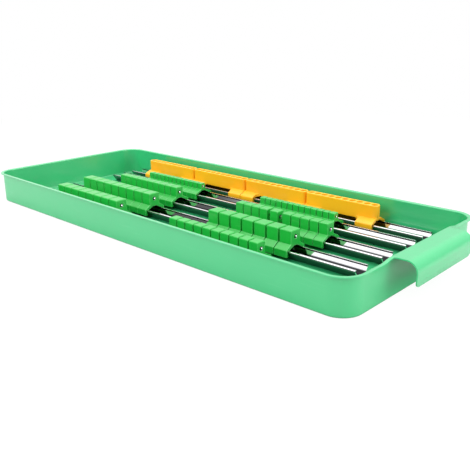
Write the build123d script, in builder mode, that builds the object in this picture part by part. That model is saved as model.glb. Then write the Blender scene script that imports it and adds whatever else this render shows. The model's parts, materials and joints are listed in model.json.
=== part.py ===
from build123d import *

import math
import os
from dataclasses import dataclass

os.makedirs("parts", exist_ok=True)

# Tray shell: origin at the centre of its underside, X along its length, front wall at -Y
tray_length = 482.6
tray_width = 195.5
tray_height = 33.0
tray_corner_radius = 18.0
tray_gauge = 1.0
tray_floor_bend = 2.0
rim_overhang = 2.5

# Handle: the rim of the right end wall drawn out, rolled over and turned down
handle_width = 89.0
handle_flat = 11.8
handle_roll_radius = 8.8
handle_curl_radius = 50.0
handle_curl_angle = 12.2
handle_corner_radius = 5.0
handle_root_radius = 2.0

# Rails: a channel with flared walls and in-turned lips
rail_gauge = 1.0
rail_floor_half = 5.0
rail_half_width = 9.9
rail_rise = 8.4
rail_lip = 2.4
rail_bend = 1.1
rail_left_gap = 26.7
rail_right_gap = 34.3
rail_wall_gap = 3.4
rail_pitch = 39.0
rear_rail_pitch = 30.5

# Rivets through each rail and the tray floor
rivet_radius = 1.6
rivet_head_radius = 3.0
rivet_head_height = 0.8
rivet_spacing = 190.0
rivet_fit = 0.05

# Saddle: the part of a clip or bit holder that straddles a rail
saddle_seat_fit = 0.2
saddle_side_fit = 1.0
saddle_skirt_wall = 1.6
saddle_skirt_bottom = 4.2
saddle_barb_grip = 0.8
saddle_shoulder_rise = 0.8
saddle_apron_rise = 4.7
saddle_arch_foot = 8.2
saddle_arch_half = 2.2
saddle_arch_rise = 3.1

# Socket drive posts
half_inch_post = 12.6
three_eighths_post = 9.5
quarter_inch_post = 6.35
half_inch_height = 12.1
three_eighths_height = 10.6
quarter_inch_height = 6.8
half_inch_margin = 0.9
three_eighths_margin = 0.45
quarter_inch_margin = 0.7
post_edge = 0.9
small_post_edge = 0.6

# Sprung ball in the right face of a post
ball_radius = 1.9
small_ball_radius = 1.4
ball_proud = 0.85
small_ball_proud = 0.6
ball_below_top = 6.0
small_ball_below_top = 3.6
ball_bore_fit = 0.09
ball_mouth_grip = 0.1
ball_lip_fit = 0.05
spring_length = 2.4
spring_fit = 0.3

# Bit holders on the rear rail
holder_count = 4
holder_holes = 10
holder_hole_pitch = 8.25
holder_hole_radius = 3.35
holder_hole_depth = 12.0
holder_end_margin = 4.55
holder_thickness = 10.0
holder_top = 26.8
holder_under_gap = 2.3
holder_foot_length = 18.0
holder_cove = 4.0
holder_end_radius = 4.0
holder_skirt_bottom = 6.0
holder_gap = 1.0

# Flat sides of the small round forms
ball_sides = 12
ball_facet_angle = 22.5
spring_sides = 8
rivet_sides = 8
bit_hole_sides = 16

# Where each run of clips and the row of bit holders start, from the left end of their rail
front_left_start = 56.2
front_right_start = 242.9
second_left_start = 46.7
second_right_start = 254.9
middle_left_start = 64.0
middle_inner_start = 252.8
middle_single_start = 296.5
middle_right_start = 311.6
fourth_left_start = 67.7
fourth_right_start = 248.8
holder_start = 32.8

# Gaps between the neighbouring clips of a run
front_left_gap = 0.15
front_right_gap = 0.9
second_left_gap = 0.1
second_right_gap = 0.9
middle_left_gap = 0.1
middle_inner_gap = 0.35
middle_right_gap = 0.45
fourth_left_gap = 0.1
fourth_right_gap = 0.15

# Levels and rows that follow from the sizes above
inner_half_length = tray_length / 2 - tray_gauge
inner_half_width = tray_width / 2 - tray_gauge
rail_left = rail_left_gap - inner_half_length
rail_right = inner_half_length - rail_right_gap
rail_top = tray_gauge + rail_rise
rear_row = inner_half_width - rail_wall_gap - rail_half_width
fourth_row = rear_row - rear_rail_pitch
middle_row = fourth_row - rail_pitch
second_row = middle_row - rail_pitch
front_row = second_row - rail_pitch
saddle_under = rail_top + saddle_seat_fit
saddle_inner = rail_half_width + saddle_side_fit
saddle_outer = saddle_inner + saddle_skirt_wall
saddle_barb = rail_half_width - saddle_barb_grip
saddle_shoulder = saddle_under + saddle_shoulder_rise
post_foot = saddle_under + saddle_apron_rise
holder_length = 2 * holder_end_margin + (holder_holes - 1) * holder_hole_pitch
holder_under = saddle_under + holder_under_gap
holder_first_x = rail_left + holder_start
rail_rows = {
    "front_rail": front_row,
    "second_rail": second_row,
    "middle_rail": middle_row,
    "fourth_rail": fourth_row,
    "rear_rail": rear_row,
}
rivet_places = [(side * rivet_spacing / 2, row) for row in rail_rows.values() for side in (-1, 1)]


@dataclass(frozen=True)
class Drive:
    """One socket drive size: its square post, the base under it and its ball."""

    post: float
    height: float
    margin: float
    edge: float
    ball: float
    ball_proud: float
    ball_drop: float

    @property
    def base(self):
        """Length of the clip's base along the rail."""
        return self.post + self.margin

    @property
    def top(self):
        """Height of the post's top over the tray's underside."""
        return post_foot + self.height


@dataclass(frozen=True)
class ClipRow:
    """Clips of one drive size side by side on a rail."""

    name: str
    drive: Drive
    row: float
    start: float
    count: int
    gap: float

    def places(self):
        """Left ends of the clips' bases along the rail."""
        step = self.drive.base + self.gap
        return [rail_left + self.start + number * step for number in range(self.count)]


half_inch = Drive(
    half_inch_post,
    half_inch_height,
    half_inch_margin,
    post_edge,
    ball_radius,
    ball_proud,
    ball_below_top,
)
three_eighths = Drive(
    three_eighths_post,
    three_eighths_height,
    three_eighths_margin,
    post_edge,
    ball_radius,
    ball_proud,
    ball_below_top,
)
quarter_inch = Drive(
    quarter_inch_post,
    quarter_inch_height,
    quarter_inch_margin,
    small_post_edge,
    small_ball_radius,
    small_ball_proud,
    small_ball_below_top,
)

# Each run of clips; the last clip of a run moves by itself, and so does the single clip
clip_rows = [
    ClipRow("front_left", half_inch, front_row, front_left_start, 8, front_left_gap),
    ClipRow("front_right", three_eighths, front_row, front_right_start, 10, front_right_gap),
    ClipRow("second_left", half_inch, second_row, second_left_start, 9, second_left_gap),
    ClipRow("second_right", half_inch, second_row, second_right_start, 7, second_right_gap),
    ClipRow("middle_left", three_eighths, middle_row, middle_left_start, 10, middle_left_gap),
    ClipRow("middle_right", three_eighths, middle_row, middle_right_start, 5, middle_right_gap),
    ClipRow("fourth_left", quarter_inch, fourth_row, fourth_left_start, 13, fourth_left_gap),
    ClipRow("fourth_right", quarter_inch, fourth_row, fourth_right_start, 13, fourth_right_gap),
]
middle_inner = ClipRow(
    "middle_inner", three_eighths, middle_row, middle_inner_start, 4, middle_inner_gap
)
middle_single = ClipRow("middle_single", three_eighths, middle_row, middle_single_start, 1, 0.0)


def saddle_outline(post_half, skirt_bottom):
    """Corners of one half of a saddle's section, from under the arch out to the post's foot."""
    return [
        (saddle_arch_half, saddle_under + saddle_arch_rise),
        (saddle_arch_foot, saddle_under),
        (saddle_inner, saddle_under),
        (saddle_barb, skirt_bottom),
        (saddle_outer, skirt_bottom),
        (saddle_outer, saddle_shoulder),
        (post_half, post_foot),
    ]


def saddle_length(post_half, skirt_bottom, length):
    """A saddle over a rail along Y = 0, from X = 0 to its length."""
    half = saddle_outline(post_half, skirt_bottom)
    other_half = [(-across, up) for across, up in reversed(half)]
    with BuildPart() as saddle:
        with BuildSketch(Plane.YZ):
            with BuildLine():
                Polyline(*half, *other_half, close=True)
            make_face()
        extrude(amount=length)
    return saddle.part


def plain_clip(drive):
    """A clip with no ball bore: a chamfered square post on its saddle."""
    with BuildPart() as clip:
        with BuildSketch(Plane.XY.offset(post_foot)):
            with Locations((drive.base - drive.post / 2, 0)):
                Rectangle(drive.post, drive.post)
        extrude(amount=drive.height)
        chamfer(clip.faces().sort_by(Axis.Z)[-1].edges(), drive.edge)
        add(saddle_length(drive.post / 2, saddle_skirt_bottom, drive.base))
    return clip.part


def ball_depth(drive):
    """How far the ball's centre lies behind the post's right face."""
    return drive.ball - drive.ball_proud


def ball_level(drive):
    """Height of the ball's centre."""
    return drive.top - drive.ball_drop


def spring_start(drive):
    """How far the spring's front end lies behind the post's right face."""
    return ball_depth(drive) + drive.ball + ball_lip_fit


def sprung_clip(drive):
    """A clip whose post has the blind bore for its ball, with the lip that keeps the ball in."""
    mouth_radius = drive.ball - ball_mouth_grip
    lip = ball_depth(drive) - math.sqrt(drive.ball**2 - mouth_radius**2) - ball_lip_fit
    bore_length = spring_start(drive) + spring_length - lip
    with BuildPart() as clip:
        add(plain_clip(drive))
        with BuildSketch(Plane.YZ.offset(drive.base - lip - bore_length)):
            with Locations((0, ball_level(drive))):
                RegularPolygon(drive.ball + ball_bore_fit, ball_sides, major_radius=False)
        extrude(amount=bore_length, mode=Mode.SUBTRACT)
        with BuildSketch(Plane.YZ.offset(drive.base - lip)):
            with Locations((0, ball_level(drive))):
                RegularPolygon(mouth_radius, ball_sides, major_radius=False)
        extrude(amount=lip, mode=Mode.SUBTRACT)
    return clip.part


def clip_ball(drive):
    """A ball at the origin in flat facets, its waist and its ends on the true sphere."""
    waist = drive.ball * math.cos(math.radians(ball_facet_angle))
    facet = waist - drive.ball * math.sin(math.radians(ball_facet_angle))
    with BuildPart() as ball:
        with BuildSketch(Plane.YZ):
            RegularPolygon(waist, ball_sides)
        extrude(amount=waist, both=True)
        ends = ball.faces().filter_by(Axis.X)
        chamfer(ends.edges(), facet)
    return ball.part


def ball_spring(drive):
    """The outside of the spring behind a ball, ending at the origin, its coils left out."""
    with BuildPart() as spring:
        with BuildSketch(Plane.YZ):
            RegularPolygon(drive.ball - spring_fit, spring_sides)
        extrude(amount=-spring_length)
    return spring.part


def bit_holder_body(length):
    """Bit holder along X = 0 to its length over Y = 0: two saddle feet and a drilled bar."""
    with BuildPart() as holder:
        foot = saddle_length(
            holder_thickness / 2, holder_skirt_bottom, holder_foot_length + holder_cove
        )
        add(foot)
        add(mirror(foot, about=Plane.YZ.offset(length / 2)))
        with BuildSketch(Plane.XY.offset(holder_skirt_bottom)):
            with Locations((length / 2, 0)):
                Rectangle(length - 2 * holder_foot_length, 2 * saddle_outer)
        extrude(amount=holder_under - holder_skirt_bottom, mode=Mode.SUBTRACT)
        with BuildSketch(Plane.XY.offset(holder_under)) as sides:
            with Locations((length / 2, -saddle_outer), (length / 2, saddle_outer)):
                Rectangle(length - 2 * holder_foot_length, 2 * saddle_outer - holder_thickness)
            chamfer(sides.vertices(), holder_cove)
        extrude(amount=post_foot - holder_under, mode=Mode.SUBTRACT)
        with BuildSketch(Plane.XY.offset(holder_under)):
            with Locations((length / 2, 0)):
                RectangleRounded(length, holder_thickness, holder_end_radius)
        extrude(amount=holder_top - holder_under)
        with BuildSketch(Plane.XY.offset(holder_top)):
            with Locations((length / 2, 0)):
                with GridLocations(holder_hole_pitch, 0, holder_holes, 1):
                    RegularPolygon(holder_hole_radius, bit_hole_sides, major_radius=False)
        extrude(amount=-holder_hole_depth, mode=Mode.SUBTRACT)
    return holder.part


def write(part, name):
    """Label a finished piece and write it under its own name."""
    part.label = name
    export_step(part, f"parts/{name}.step")


# Handle lip: outer skin from the rim over the roll and down the curl
with BuildPart() as handle_lip:
    with BuildSketch(Plane.XZ):
        with BuildLine():
            flat = Line(
                (tray_length / 2, tray_height),
                (tray_length / 2 + handle_flat, tray_height),
            )
            roll = JernArc(flat @ 1, (1, 0), handle_roll_radius, -90)
            JernArc(roll @ 1, (0, -1), handle_curl_radius, -handle_curl_angle)
            offset(amount=tray_gauge, side=Side.RIGHT)
        make_face()
    extrude(amount=handle_width / 2, both=True)
    handle_drop = handle_roll_radius + handle_curl_radius * math.sin(math.radians(handle_curl_angle))
    with BuildSketch(Plane.YZ.offset(tray_length / 2)):
        with Locations((0, tray_height)):
            RectangleRounded(handle_width, 2 * handle_drop, handle_corner_radius)
    extrude(amount=handle_flat + handle_roll_radius, mode=Mode.INTERSECT)

# Tray shell
with BuildPart() as tray_shell:
    with BuildSketch():
        RectangleRounded(tray_length, tray_width, tray_corner_radius)
    extrude(amount=tray_height)
    chamfer(tray_shell.faces().sort_by(Axis.Z)[0].edges(), tray_floor_bend)
    offset(amount=-tray_gauge, openings=tray_shell.faces().sort_by(Axis.Z)[-1])
    with BuildSketch(Plane.XY.offset(tray_height - tray_gauge)) as rim:
        RectangleRounded(
            tray_length + 2 * rim_overhang,
            tray_width + 2 * rim_overhang,
            tray_corner_radius + rim_overhang,
        )
        with Locations((tray_length / 2, 0)):
            Rectangle(handle_flat, handle_width, align=(Align.MIN, Align.CENTER))
        root_middle = (tray_length / 2 + rim_overhang, 0)
        fillet(rim.vertices().sort_by_distance(root_middle)[:2], handle_root_radius)
        RectangleRounded(
            2 * inner_half_length,
            2 * inner_half_width,
            tray_corner_radius - tray_gauge,
            mode=Mode.SUBTRACT,
        )
    extrude(amount=tray_gauge)
    add(handle_lip.part)
    with BuildSketch():
        with Locations(*rivet_places):
            RegularPolygon(rivet_radius + rivet_fit, rivet_sides)
    extrude(amount=tray_gauge, mode=Mode.SUBTRACT)
write(tray_shell.part, "tray_shell")

# Rails: bottom and sides traced on the outside, with the sheet inside the line
for name, row in rail_rows.items():
    with BuildPart() as rail:
        with BuildSketch(Plane.YZ.offset(rail_left)):
            with BuildLine():
                Polyline(
                    (row - rail_half_width + rail_lip, rail_top),
                    (row - rail_half_width + rail_bend, rail_top),
                    (row - rail_half_width, rail_top - rail_bend),
                    (row - rail_floor_half, tray_gauge),
                    (row + rail_floor_half, tray_gauge),
                    (row + rail_half_width, rail_top - rail_bend),
                    (row + rail_half_width - rail_bend, rail_top),
                    (row + rail_half_width - rail_lip, rail_top),
                )
                offset(amount=rail_gauge, side=Side.LEFT, kind=Kind.INTERSECTION)
            make_face()
        extrude(amount=rail_right - rail_left)
        with BuildSketch(Plane.XY.offset(tray_gauge)):
            with Locations((-rivet_spacing / 2, row), (rivet_spacing / 2, row)):
                RegularPolygon(rivet_radius + rivet_fit, rivet_sides)
        extrude(amount=rail_gauge, mode=Mode.SUBTRACT)
    write(rail.part, name)

# Rivets: shanks flush with the tray's underside, heads on the rail floors
with BuildPart() as rail_rivets:
    with BuildSketch():
        with Locations(*rivet_places):
            RegularPolygon(rivet_radius, rivet_sides)
    extrude(amount=tray_gauge + rail_gauge)
    with BuildSketch(Plane.XY.offset(tray_gauge + rail_gauge)):
        with Locations(*rivet_places):
            RegularPolygon(rivet_head_radius, rivet_sides)
    extrude(amount=rivet_head_height)
write(rail_rivets.part, "rail_rivets")

# Clips: every run less its last clip, which has its own node, ball and spring
plain_clips = {drive: plain_clip(drive) for drive in (half_inch, three_eighths, quarter_inch)}
sprung_clips = {drive: sprung_clip(drive) for drive in plain_clips}
balls = {drive: clip_ball(drive) for drive in plain_clips}
springs = {drive: ball_spring(drive) for drive in plain_clips}


def write_run(run, places, name):
    """Write plain clips of a run at these places as one node of separate solids."""
    with BuildPart() as clips:
        with Locations(*[(place, run.row, 0) for place in places]):
            add(plain_clips[run.drive])
    write(clips.part, name)


def write_sprung(run, place, name):
    """Write one clip with its ball and its spring, each in its own node."""
    drive = run.drive
    face = place + drive.base
    with BuildPart() as clip:
        with Locations((place, run.row, 0)):
            add(sprung_clips[drive])
    write(clip.part, f"{name}_clip")
    with BuildPart() as ball:
        with Locations((face - ball_depth(drive), run.row, ball_level(drive))):
            add(balls[drive])
    write(ball.part, f"{name}_ball")
    with BuildPart() as spring:
        with Locations((face - spring_start(drive), run.row, ball_level(drive))):
            add(springs[drive])
    write(spring.part, f"{name}_spring")


for run in clip_rows:
    *inner_places, end_place = run.places()
    write_run(run, inner_places, f"{run.name}_clips")
    write_sprung(run, end_place, f"{run.name}_end")
write_run(middle_inner, middle_inner.places(), "middle_inner_clips")
write_sprung(middle_single, middle_single.places()[0], middle_single.name)

# Bit holders side by side on the rear rail
bit_holder_shape = bit_holder_body(holder_length)
for number in range(holder_count):
    with BuildPart() as bit_holder:
        with Locations((holder_first_x + number * (holder_length + holder_gap), rear_row, 0)):
            add(bit_holder_shape)
    write(bit_holder.part, f"bit_holder_{number + 1}")
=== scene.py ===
"""Looks of a socket organizer tray: painted tray, bright rails, socket clips and bit holders.

Every size is in metres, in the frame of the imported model: X along the tray, front wall at -Y.
"""

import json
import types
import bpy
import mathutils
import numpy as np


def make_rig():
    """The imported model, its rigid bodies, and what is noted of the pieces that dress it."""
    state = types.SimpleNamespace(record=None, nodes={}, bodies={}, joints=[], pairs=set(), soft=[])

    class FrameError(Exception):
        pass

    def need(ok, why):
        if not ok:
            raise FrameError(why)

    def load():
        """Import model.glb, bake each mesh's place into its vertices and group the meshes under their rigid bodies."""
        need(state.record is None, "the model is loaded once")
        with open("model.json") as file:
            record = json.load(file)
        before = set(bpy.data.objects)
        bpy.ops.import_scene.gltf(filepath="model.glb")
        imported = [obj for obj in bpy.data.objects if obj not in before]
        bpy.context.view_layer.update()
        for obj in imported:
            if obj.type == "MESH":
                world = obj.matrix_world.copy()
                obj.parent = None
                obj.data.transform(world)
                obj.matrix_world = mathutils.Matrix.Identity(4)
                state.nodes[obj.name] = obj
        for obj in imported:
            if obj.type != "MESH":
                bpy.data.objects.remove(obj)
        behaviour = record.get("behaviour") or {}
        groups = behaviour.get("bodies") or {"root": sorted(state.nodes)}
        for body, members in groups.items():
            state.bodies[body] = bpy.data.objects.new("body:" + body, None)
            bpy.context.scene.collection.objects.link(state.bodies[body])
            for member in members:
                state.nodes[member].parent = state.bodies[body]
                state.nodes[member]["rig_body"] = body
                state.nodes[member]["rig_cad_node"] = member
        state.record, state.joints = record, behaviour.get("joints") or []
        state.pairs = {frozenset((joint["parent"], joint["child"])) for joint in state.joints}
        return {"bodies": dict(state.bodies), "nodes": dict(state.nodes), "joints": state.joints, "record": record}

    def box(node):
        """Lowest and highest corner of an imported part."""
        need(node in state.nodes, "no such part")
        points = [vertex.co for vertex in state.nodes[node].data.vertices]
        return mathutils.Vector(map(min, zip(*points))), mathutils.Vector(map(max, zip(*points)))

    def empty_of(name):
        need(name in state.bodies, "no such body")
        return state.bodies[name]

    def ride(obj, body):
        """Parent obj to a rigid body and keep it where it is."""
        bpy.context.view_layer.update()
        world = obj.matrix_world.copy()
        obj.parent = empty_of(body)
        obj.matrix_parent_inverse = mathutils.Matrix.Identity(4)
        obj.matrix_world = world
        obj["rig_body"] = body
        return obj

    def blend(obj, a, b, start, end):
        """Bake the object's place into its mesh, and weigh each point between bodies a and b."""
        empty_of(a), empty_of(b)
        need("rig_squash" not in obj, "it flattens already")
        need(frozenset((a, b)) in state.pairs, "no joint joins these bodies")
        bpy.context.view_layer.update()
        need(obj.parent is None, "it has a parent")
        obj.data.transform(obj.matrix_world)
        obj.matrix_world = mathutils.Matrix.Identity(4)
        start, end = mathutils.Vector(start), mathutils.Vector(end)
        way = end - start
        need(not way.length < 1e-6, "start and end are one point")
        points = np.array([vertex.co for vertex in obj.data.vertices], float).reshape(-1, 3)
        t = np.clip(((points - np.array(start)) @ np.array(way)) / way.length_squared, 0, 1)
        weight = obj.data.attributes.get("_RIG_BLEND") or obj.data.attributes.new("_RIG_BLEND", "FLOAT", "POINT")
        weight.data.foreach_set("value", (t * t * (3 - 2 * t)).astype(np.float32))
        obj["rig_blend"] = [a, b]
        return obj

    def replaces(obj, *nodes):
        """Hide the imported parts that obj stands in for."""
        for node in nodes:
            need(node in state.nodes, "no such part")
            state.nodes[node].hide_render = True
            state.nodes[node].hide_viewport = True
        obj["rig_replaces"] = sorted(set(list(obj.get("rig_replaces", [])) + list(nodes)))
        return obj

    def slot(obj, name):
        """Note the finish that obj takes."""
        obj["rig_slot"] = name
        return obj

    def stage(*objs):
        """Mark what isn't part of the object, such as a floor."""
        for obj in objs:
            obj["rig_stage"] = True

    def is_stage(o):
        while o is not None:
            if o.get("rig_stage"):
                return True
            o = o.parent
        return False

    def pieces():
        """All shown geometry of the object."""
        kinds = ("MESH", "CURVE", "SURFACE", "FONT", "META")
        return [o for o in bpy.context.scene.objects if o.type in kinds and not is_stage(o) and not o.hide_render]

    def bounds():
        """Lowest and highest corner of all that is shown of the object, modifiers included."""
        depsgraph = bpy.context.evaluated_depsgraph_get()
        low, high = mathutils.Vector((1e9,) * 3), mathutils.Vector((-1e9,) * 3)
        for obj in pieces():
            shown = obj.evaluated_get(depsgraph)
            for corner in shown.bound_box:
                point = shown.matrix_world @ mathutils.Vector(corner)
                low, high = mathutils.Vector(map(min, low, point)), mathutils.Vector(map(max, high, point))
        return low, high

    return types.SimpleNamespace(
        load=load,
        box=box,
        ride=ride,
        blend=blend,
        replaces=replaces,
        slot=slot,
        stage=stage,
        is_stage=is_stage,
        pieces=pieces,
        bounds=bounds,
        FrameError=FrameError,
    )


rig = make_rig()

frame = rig.load()

import json
import logging
import math
from collections.abc import Iterable, Sequence
from dataclasses import dataclass
from enum import Enum

import bmesh
import bpy
from mathutils import Matrix, Vector

SIZE_FILE = "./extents.json"
PHOTO_SIDE = 470
SENSOR_WIDTH = 36.0
SAME_PLACE = 1e-7
SAME_LEVEL = 1e-6
SAME_TURN = 1e-4
LEVEL_RAY = 1e-9
EDGE_ANGLE = 50.0

Point = tuple[float, float, float]
Flat = tuple[float, float]
Colour = tuple[float, float, float, float]

log = logging.getLogger("socket_tray")


def spread(start: float, end: float, steps: int) -> list[float]:
    """Evenly spaced values.

    Args:
        start: first value.
        end: last value.
        steps: number of steps between them.

    Returns:
        steps + 1 values, both ends included.
    """
    return [start + (end - start) * step / steps for step in range(steps + 1)]


def eased(share: float) -> float:
    """A share from 0 to 1 with a soft start and end; what is outside is held at 0 or 1."""
    held = min(max(share, 0.0), 1.0)
    return held * held * (3 - 2 * held)


def arc(centre: Flat, radius: float, first: float, last: float, steps: int) -> list[Flat]:
    """Points on an arc.

    Args:
        centre: centre of the arc.
        radius: its radius.
        first: angle of the first point, in degrees.
        last: angle of the last point, in degrees.
        steps: number of steps between them.

    Returns:
        The points, both ends included.
    """
    turns = [math.radians(angle) for angle in spread(first, last, steps)]
    return [
        (centre[0] + radius * math.cos(turn), centre[1] + radius * math.sin(turn)) for turn in turns
    ]


def rounded_path(corners: Sequence[tuple[Flat, float]], steps: int, closed: bool) -> list[Flat]:
    """A line through corners, each rounded to its own radius.

    Args:
        corners: the corners in order, each with its radius.
        steps: steps in each rounded corner.
        closed: whether the line comes back to its start; an open line keeps its ends sharp.

    Returns:
        The points of the line.
    """
    points: list[Flat] = []
    count = len(corners)
    for number, (corner, radius) in enumerate(corners):
        here = Vector(corner)
        if not closed and number in (0, count - 1):
            points.append(tuple(here))
            continue
        back = (Vector(corners[number - 1][0]) - here).normalized()
        ahead = (Vector(corners[(number + 1) % count][0]) - here).normalized()
        half = back.angle(ahead) / 2
        reach = radius / math.tan(half)
        centre = here + (back + ahead).normalized() * radius / math.sin(half)
        start = here + back * reach - centre
        end = here + ahead * reach - centre
        for share in spread(0.0, 1.0, steps):
            turned = start.slerp(end, share).normalized() * radius if radius > 0 else start
            points.append(tuple(centre + turned))
    return points


def path_normals(points: Sequence[Flat], closed: bool) -> list[Vector]:
    """Normals to the right of a line's direction, long enough to keep an offset line parallel.

    Args:
        points: the line.
        closed: whether it comes back to its start.

    Returns:
        One normal for each point.
    """
    least = 0.5
    count = len(points)
    normals: list[Vector] = []
    for number, point in enumerate(points):
        here = Vector(point)
        before = Vector(points[number - 1]) if closed or number else here
        after = Vector(points[(number + 1) % count]) if closed or number < count - 1 else here
        sides = [
            Vector((side.y, -side.x)).normalized()
            for side in (here - before, after - here)
            if side.length > 0
        ]
        mean = (sides[0] + sides[-1]).normalized()
        normals.append(mean / max(mean.dot(sides[0]), least))
    return normals


class Shape:
    """Points and faces of a piece, gathered before they become a mesh."""

    def __init__(self) -> None:
        """Start with nothing."""
        self.points: list[Point] = []
        self.faces: list[tuple[int, ...]] = []

    def row(self, points: Iterable[Point]) -> list[int]:
        """Add a row of points and return their numbers."""
        start = len(self.points)
        self.points.extend(points)
        return list(range(start, len(self.points)))

    def strip(self, first: Sequence[int], second: Sequence[int], closed: bool = True) -> None:
        """Join two rows of the same length with four-sided faces.

        Args:
            first: numbers of the first row.
            second: numbers of the second row.
            closed: whether the last points join the first ones.
        """
        count = len(first)
        for here in range(count if closed else count - 1):
            there = (here + 1) % count
            self.faces.append((first[here], second[here], second[there], first[there]))

    def skin(self, rows: Sequence[Sequence[int]], closed: bool = True) -> None:
        """Join rows one after the other."""
        for first, second in zip(rows, rows[1:]):
            self.strip(first, second, closed)

    def cap(self, row: Sequence[int]) -> None:
        """Close a flat row with one face."""
        self.faces.append(tuple(row))

    def sheet(self, near: Sequence[Sequence[int]], far: Sequence[Sequence[int]]) -> None:
        """Join two ends of a sheet and close it all round.

        Args:
            near: the inner and the outer line at one end.
            far: the same two lines at the other end.
        """
        (near_in, near_out), (far_in, far_out) = near, far
        sides = [(near_in, far_in), (near_out, far_out), (near_in, near_out), (far_in, far_out)]
        for first, second in sides:
            self.strip(first, second, closed=False)
        for end in (0, -1):
            self.cap([near_in[end], far_in[end], far_out[end], near_out[end]])

    def lathe(self, profile: Sequence[Flat], axis: Matrix, sides: int) -> None:
        """Turn a profile round an axis.

        Args:
            profile: radius and height of each point; the ends are closed.
            axis: places the turned form; its Z is the axis.
            sides: number of sides.
        """
        turns = [2 * math.pi * side / sides for side in range(sides)]
        rows = [
            self.row(
                tuple(axis @ Vector((radius * math.cos(turn), radius * math.sin(turn), up)))
                for turn in turns
            )
            for radius, up in profile
        ]
        self.skin(rows)
        self.cap(rows[0])
        self.cap(list(reversed(rows[-1])))

    def mesh(self, name: str, outward: bool = True) -> bpy.types.Mesh:
        """Make the mesh.

        Args:
            name: name of the mesh.
            outward: whether to turn every face outward, for a closed form.

        Returns:
            The mesh, shaded smooth.
        """
        mesh = bpy.data.meshes.new(name)
        mesh.from_pydata(self.points, [], self.faces)
        tool = bmesh.new()
        tool.from_mesh(mesh)
        bmesh.ops.remove_doubles(tool, verts=tool.verts, dist=SAME_PLACE)
        bmesh.ops.dissolve_degenerate(tool, dist=SAME_PLACE, edges=tool.edges)
        if outward:
            bmesh.ops.recalc_face_normals(tool, faces=tool.faces)
        tool.to_mesh(mesh)
        tool.free()
        mesh.shade_smooth()
        return mesh


def made(name: str, mesh: bpy.types.Mesh) -> bpy.types.Object:
    """Put a mesh into the scene as an object and return it."""
    piece = bpy.data.objects.new(name, mesh)
    bpy.context.scene.collection.objects.link(piece)
    return piece


def settled(piece: bpy.types.Object, name: str) -> bpy.types.Mesh:
    """Apply an object's modifiers and remove the object.

    Args:
        piece: the object with its modifiers.
        name: name of the new mesh.

    Returns:
        The mesh as the modifiers leave it.
    """
    graph = bpy.context.evaluated_depsgraph_get()
    mesh = bpy.data.meshes.new_from_object(piece.evaluated_get(graph))
    mesh.name = name
    bpy.data.objects.remove(piece)
    return mesh


def cut(mesh: bpy.types.Mesh, tool: bpy.types.Mesh, name: str) -> bpy.types.Mesh:
    """Cut one closed form out of another.

    Args:
        mesh: the form that is cut.
        tool: the form that is taken away.
        name: name of the new mesh.

    Returns:
        What is left of the first form.
    """
    piece = made(name, mesh)
    cutter = made(f"{name}_cutter", tool)
    step = piece.modifiers.new("Cut", "BOOLEAN")
    step.operation = "DIFFERENCE"
    step.solver = "EXACT"
    step.object = cutter
    left = settled(piece, name)
    bpy.data.objects.remove(cutter)
    left.shade_smooth()
    return left


def finished(tool: bmesh.types.BMesh, name: str) -> bpy.types.Mesh:
    """Turn a worked mesh into a named one, shaded smooth."""
    mesh = bpy.data.meshes.new(name)
    tool.to_mesh(mesh)
    tool.free()
    mesh.shade_smooth()
    return mesh


def joined(parts: Iterable[tuple[bpy.types.Mesh, Vector]], name: str) -> bpy.types.Mesh:
    """One mesh that holds several.

    Args:
        parts: each mesh with how far it is moved.
        name: name of the new mesh.

    Returns:
        The joined mesh.
    """
    tool = bmesh.new()
    for mesh, place in parts:
        start = len(tool.verts)
        tool.from_mesh(mesh)
        tool.verts.ensure_lookup_table()
        bmesh.ops.translate(tool, verts=tool.verts[start:], vec=place)
    return finished(tool, name)


def row_of(node: str) -> float:
    """Y of a node's centre line."""
    low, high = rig.box(node)
    return (low.y + high.y) / 2


def round_edges(piece: bpy.types.Object, width: float) -> None:
    """Round the sharp edges of a piece to a width, with a modifier."""
    rounding = piece.modifiers.new("Edges", "BEVEL")
    rounding.width = width
    rounding.segments = 2
    rounding.limit_method = "ANGLE"
    rounding.angle_limit = math.radians(EDGE_ANGLE)


def fit(
    name: str,
    mesh: bpy.types.Mesh,
    material: bpy.types.Material,
    slot: str,
    body: str,
    nodes: Sequence[str] = (),
    edge: float = 0.0,
    stretch: tuple[str, Vector, Vector] | None = None,
) -> bpy.types.Object:
    """Dress a mesh and put it where it belongs.

    Args:
        name: name of the piece.
        mesh: its mesh, in place.
        material: its finish.
        slot: the record's material slot.
        body: the body that it moves with.
        nodes: the CAD nodes that it stands for.
        edge: width of the rounding on its sharp edges, if they need any.
        stretch: for a spring, the body at its far end, and its near and far end.

    Returns:
        The piece.
    """
    piece = made(name, mesh)
    mesh.materials.clear()
    mesh.materials.append(material)
    if edge:
        round_edges(piece, edge)
    shading = piece.modifiers.new("Flats", "WEIGHTED_NORMAL")
    shading.keep_sharp = True
    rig.slot(piece, slot)
    if stretch:
        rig.blend(piece, body, *stretch)
    else:
        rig.ride(piece, body)
    if nodes:
        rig.replaces(piece, *nodes)
    log.info("%s: %d faces, moves with %s", name, len(mesh.polygons), body)
    return piece


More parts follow.
